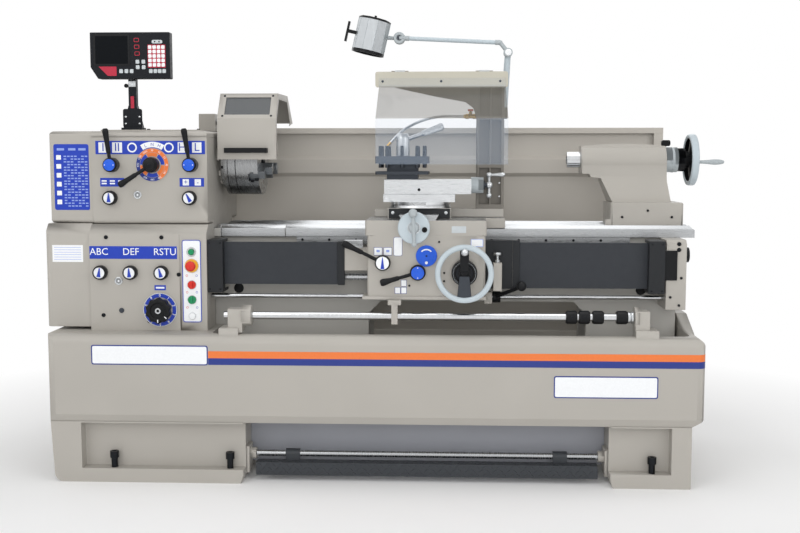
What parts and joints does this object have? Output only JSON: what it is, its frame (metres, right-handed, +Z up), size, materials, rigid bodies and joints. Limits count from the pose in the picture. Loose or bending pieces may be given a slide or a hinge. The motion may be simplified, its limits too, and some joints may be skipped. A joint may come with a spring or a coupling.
{
  "type": "engine lathe",
  "caption": "Manual gap-bed engine lathe on a pedestal base, with a chuck under a guard, a carriage with a tool post, a tailstock, a lamp and a digital readout.",
  "frame": {"origin": "middle of the machine's footprint, on the floor", "axes": "+X along the bed from the headstock to the tailstock, -Y towards the operator, +Z up"},
  "size_m": [2.379, 0.832, 1.6235],
  "materials": {
    "paint": "satin enamel",
    "panel_paint": "satin enamel",
    "dark_paint": "satin",
    "casting": "ground ways on a grey casting",
    "ground_steel": "ground",
    "chrome": "polished",
    "tool_steel": "dark oxide",
    "wheel_rim": "satin cast",
    "black_plastic": "fine grain",
    "green_plastic": "gloss",
    "red_plastic": "gloss",
    "roll_sheet": "woven, coated",
    "clear_sheet": "clear",
    "lamp_shell": "satin"
  },
  "bodies": {
    "machine": {"base": "paint", "kick_panel": "panel_paint", "leveling_screws": "tool_steel", "bed": "casting", "feed_rack": "ground_steel", "headstock": "paint", "end_cover": "paint", "feed_gearbox": "paint", "end_bracket": "paint", "cover_housings": "dark_paint", "splash_guard": "paint", "readout_mast": "dark_paint"},
    "spindle": {"spindle": "ground_steel", "chuck_body": "ground_steel"},
    "carriage": {"saddle": "paint", "apron": "paint", "roll_covers": "roll_sheet"},
    "chuck_guard": {"chuck_guard": "paint", "chuck_guard_window": "clear_sheet"},
    "cross_slide": {"cross_slide": "paint", "guard_post": "paint", "coolant_pipe": "ground_steel"},
    "compound": {"compound_base": "ground_steel"},
    "chuck_jaw_1": {"chuck_jaw_1": "tool_steel"},
    "chuck_jaw_2": {"chuck_jaw_2": "tool_steel"},
    "chuck_jaw_3": {"chuck_jaw_3": "tool_steel"},
    "left_range_lever": {"left_range_lever": "black_plastic"},
    "right_range_lever": {"right_range_lever": "black_plastic"},
    "speed_lever": {"speed_lever": "black_plastic"},
    "head_knob_left": {"head_knob_left": "black_plastic"},
    "head_knob_right": {"head_knob_right": "black_plastic"},
    "feed_knob_1": {"feed_knob_1": "black_plastic"},
    "feed_knob_2": {"feed_knob_2": "black_plastic"},
    "feed_knob_3": {"feed_knob_3": "black_plastic"},
    "pitch_knob": {"pitch_knob": "black_plastic"},
    "start_button": {"start_button": "green_plastic"},
    "stop_button": {"stop_button": "red_plastic"},
    "leadscrew": {"leadscrew": "ground_steel"},
    "feed_rod": {"feed_rod": "ground_steel"},
    "control_rod": {"control_rod": "ground_steel"},
    "stop_rod": {"stop_rod": "chrome"},
    "brake_pedal": {"brake_pedal": "dark_paint"},
    "apron_handwheel": {"apron_handwheel": "wheel_rim"},
    "halfnut_lever": {"halfnut_lever": "black_plastic"},
    "feed_lever": {"feed_lever": "black_plastic"},
    "start_lever": {"start_lever": "black_plastic"},
    "thread_dial": {"thread_dial": "ground_steel"},
    "cross_handwheel": {"cross_handwheel": "chrome"},
    "top_slide": {"top_slide": "ground_steel"},
    "compound_handle": {"compound_handle": "chrome"},
    "toolpost": {"toolpost": "tool_steel"},
    "toolpost_lever": {"toolpost_lever": "chrome"},
    "tool_guard": {"tool_guard": "clear_sheet"},
    "lamp_arm": {"lamp_arm": "lamp_shell"},
    "lamp_head": {"lamp_head": "lamp_shell"},
    "tailstock": {"tailstock": "paint"},
    "quill": {"quill": "ground_steel"},
    "tailstock_wheel": {"tailstock_wheel": "wheel_rim"},
    "quill_lock": {"quill_lock": "black_plastic"},
    "readout_head": {"readout_head": "black_plastic"}
  },
  "joints": [
    {"name": "spindle_turn", "type": "hinge", "parent": "machine", "child": "spindle", "pos_m": [-0.6255, 0.066, 1.108], "axis": [1, 0, 0], "continuous": true},
    {"name": "jaw_1_slide", "type": "slide", "parent": "spindle", "child": "chuck_jaw_1", "axis": [0, 0, 1], "range_m": [-0.01, 0.012]},
    {"name": "jaw_2_slide", "type": "slide", "parent": "spindle", "child": "chuck_jaw_2", "axis": [0, -0.866, -0.5], "range_m": [-0.01, 0.012]},
    {"name": "jaw_3_slide", "type": "slide", "parent": "spindle", "child": "chuck_jaw_3", "axis": [0, 0.866, -0.5], "range_m": [-0.01, 0.012]},
    {"name": "chuck_guard_lift", "type": "hinge", "parent": "machine", "child": "chuck_guard", "pos_m": [-0.6595, 0.291, 1.255], "axis": [-1, 0, 0], "range_deg": [0, 85]},
    {"name": "left_range_turn", "type": "hinge", "parent": "machine", "child": "left_range_lever", "pos_m": [-0.9535, -0.194, 1.09], "axis": [0, 1, 0], "range_deg": [-25, 25]},
    {"name": "right_range_turn", "type": "hinge", "parent": "machine", "child": "right_range_lever", "pos_m": [-0.6785, -0.194, 1.09], "axis": [0, 1, 0], "range_deg": [-25, 25]},
    {"name": "speed_turn", "type": "hinge", "parent": "machine", "child": "speed_lever", "pos_m": [-0.8155, -0.194, 1.09], "axis": [0, 1, 0], "range_deg": [-110, 12]},
    {"name": "head_knob_left_turn", "type": "hinge", "parent": "machine", "child": "head_knob_left", "pos_m": [-0.9655, -0.194, 0.976], "axis": [0, 1, 0], "range_deg": [-60, 60]},
    {"name": "head_knob_right_turn", "type": "hinge", "parent": "machine", "child": "head_knob_right", "pos_m": [-0.6865, -0.194, 0.976], "axis": [0, 1, 0], "range_deg": [-60, 60]},
    {"name": "feed_knob_1_turn", "type": "hinge", "parent": "machine", "child": "feed_knob_1", "pos_m": [-0.9935, -0.234, 0.719], "axis": [0, 1, 0], "range_deg": [-60, 60]},
    {"name": "feed_knob_2_turn", "type": "hinge", "parent": "machine", "child": "feed_knob_2", "pos_m": [-0.8885, -0.234, 0.719], "axis": [0, 1, 0], "range_deg": [-60, 60]},
    {"name": "feed_knob_3_turn", "type": "hinge", "parent": "machine", "child": "feed_knob_3", "pos_m": [-0.7805, -0.234, 0.719], "axis": [0, 1, 0], "range_deg": [-60, 60]},
    {"name": "pitch_knob_turn", "type": "hinge", "parent": "machine", "child": "pitch_knob", "pos_m": [-0.7885, -0.234, 0.589], "axis": [0, 1, 0], "continuous": true},
    {"name": "start_button_press", "type": "slide", "parent": "machine", "child": "start_button", "axis": [0, 1, 0], "range_m": [0, 0.004], "stiffness_N_per_m": 500},
    {"name": "stop_button_press", "type": "slide", "parent": "machine", "child": "stop_button", "axis": [0, 1, 0], "range_m": [0, 0.006], "stiffness_N_per_m": 500},
    {"name": "leadscrew_turn", "type": "hinge", "parent": "machine", "child": "leadscrew", "pos_m": [0.1405, -0.164, 0.765], "axis": [1, 0, 0], "continuous": true},
    {"name": "feed_rod_turn", "type": "hinge", "parent": "machine", "child": "feed_rod", "pos_m": [0.1405, -0.164, 0.7], "axis": [1, 0, 0], "continuous": true},
    {"name": "control_rod_turn", "type": "hinge", "parent": "machine", "child": "control_rod", "pos_m": [0.1405, -0.164, 0.632], "axis": [1, 0, 0], "range_deg": [-12, 20]},
    {"name": "stop_rod_turn", "type": "hinge", "parent": "machine", "child": "stop_rod", "pos_m": [0.1405, -0.279, 0.578], "axis": [1, 0, 0], "continuous": true},
    {"name": "brake_pedal_press", "type": "hinge", "parent": "machine", "child": "brake_pedal", "pos_m": [0.1355, -0.234, 0.086], "axis": [1, 0, 0], "range_deg": [0, 8], "stiffness_Nm_per_rad": 30, "springref_deg": -8.59},
    {"name": "carriage_slide", "type": "slide", "parent": "machine", "child": "carriage", "axis": [1, 0, 0], "range_m": [-0.25, 0.15], "deforming": ["roll_covers"]},
    {"name": "apron_wheel_turn", "type": "hinge", "parent": "carriage", "child": "apron_handwheel", "pos_m": [0.2645, -0.264, 0.73], "axis": [0, 1, 0], "continuous": true},
    {"name": "halfnut_turn", "type": "hinge", "parent": "carriage", "child": "halfnut_lever", "pos_m": [-0.0115, -0.264, 0.76], "axis": [0, 1, 0], "range_deg": [-30, 0]},
    {"name": "feed_lever_turn", "type": "hinge", "parent": "carriage", "child": "feed_lever", "pos_m": [0.1075, -0.264, 0.727], "axis": [0, 1, 0], "range_deg": [-25, 0]},
    {"name": "start_lever_swing", "type": "hinge", "parent": "carriage", "child": "start_lever", "pos_m": [0.3785, -0.164, 0.632], "axis": [1, 0, 0], "range_deg": [-10, 18]},
    {"name": "thread_dial_turn", "type": "hinge", "parent": "carriage", "child": "thread_dial", "pos_m": [0.3785, -0.22, 0.76], "axis": [0, 0, 1], "continuous": true},
    {"name": "cross_slide_feed", "type": "slide", "parent": "carriage", "child": "cross_slide", "axis": [0, 1, 0], "range_m": [-0.085, 0.1]},
    {"name": "cross_wheel_turn", "type": "hinge", "parent": "carriage", "child": "cross_handwheel", "pos_m": [0.0955, -0.264, 0.882], "axis": [0, 1, 0], "continuous": true},
    {"name": "compound_swivel", "type": "hinge", "parent": "cross_slide", "child": "compound", "pos_m": [0.1095, -0.094, 0.941], "axis": [0, 0, 1], "range_deg": [-45, 0]},
    {"name": "top_slide_feed", "type": "slide", "parent": "compound", "child": "top_slide", "axis": [1, 0, 0], "range_m": [-0.05, 0.015]},
    {"name": "compound_handle_turn", "type": "hinge", "parent": "top_slide", "child": "compound_handle", "pos_m": [0.3525, -0.094, 1.019], "axis": [1, 0, 0], "continuous": true},
    {"name": "toolpost_turn", "type": "hinge", "parent": "top_slide", "child": "toolpost", "pos_m": [0.0495, -0.094, 1.04], "axis": [0, 0, 1], "continuous": true},
    {"name": "toolpost_lever_turn", "type": "hinge", "parent": "top_slide", "child": "toolpost_lever", "pos_m": [0.0495, -0.094, 1.12], "axis": [0, 0, 1], "range_deg": [-40, 40]},
    {"name": "tool_guard_lift", "type": "hinge", "parent": "cross_slide", "child": "tool_guard", "pos_m": [0.1855, -0.046, 1.418], "axis": [-1, 0, 0], "range_deg": [0, 90]},
    {"name": "lamp_arm_swing", "type": "hinge", "parent": "cross_slide", "child": "lamp_arm", "pos_m": [0.4205, 0.021, 1.489], "axis": [0, 1, 0], "range_deg": [-10, 30]},
    {"name": "lamp_head_tilt", "type": "hinge", "parent": "lamp_arm", "child": "lamp_head", "pos_m": [0.0315, 0.021, 1.542], "axis": [0, 1, 0], "range_deg": [-30, 30]},
    {"name": "tailstock_slide", "type": "slide", "parent": "machine", "child": "tailstock", "axis": [1, 0, 0], "range_m": [-0.15, 0.01]},
    {"name": "quill_slide", "type": "slide", "parent": "tailstock", "child": "quill", "axis": [1, 0, 0], "range_m": [-0.1, 0.03]},
    {"name": "tailstock_wheel_turn", "type": "hinge", "parent": "tailstock", "child": "tailstock_wheel", "pos_m": [1.0615, 0.066, 1.108], "axis": [1, 0, 0], "range_deg": [-7200, 2160]},
    {"name": "quill_lock_turn", "type": "hinge", "parent": "tailstock", "child": "quill_lock", "pos_m": [0.9705, 0.126, 1.12], "axis": [0, 1, 0], "range_deg": [-25, 25]},
    {"name": "readout_tilt", "type": "hinge", "parent": "machine", "child": "readout_head", "pos_m": [-0.9005, -0.119, 1.417], "axis": [1, 0, 0], "range_deg": [-15, 12]}
  ],
  "couplings": [
    {"joint": "jaw_2_slide", "follows": "jaw_1_slide", "ratio": 1},
    {"joint": "jaw_3_slide", "follows": "jaw_1_slide", "ratio": 1},
    {"joint": "control_rod_turn", "follows": "start_lever_swing", "ratio": 1},
    {"joint": "apron_wheel_turn", "follows": "carriage_slide", "rad_per_m": 251.33},
    {"joint": "cross_wheel_turn", "follows": "cross_slide_feed", "rad_per_m": 1256.6},
    {"joint": "compound_handle_turn", "follows": "top_slide_feed", "rad_per_m": 1256.6},
    {"joint": "quill_slide", "follows": "tailstock_wheel_turn", "m_per_rad": 0.00079577}
  ]
}
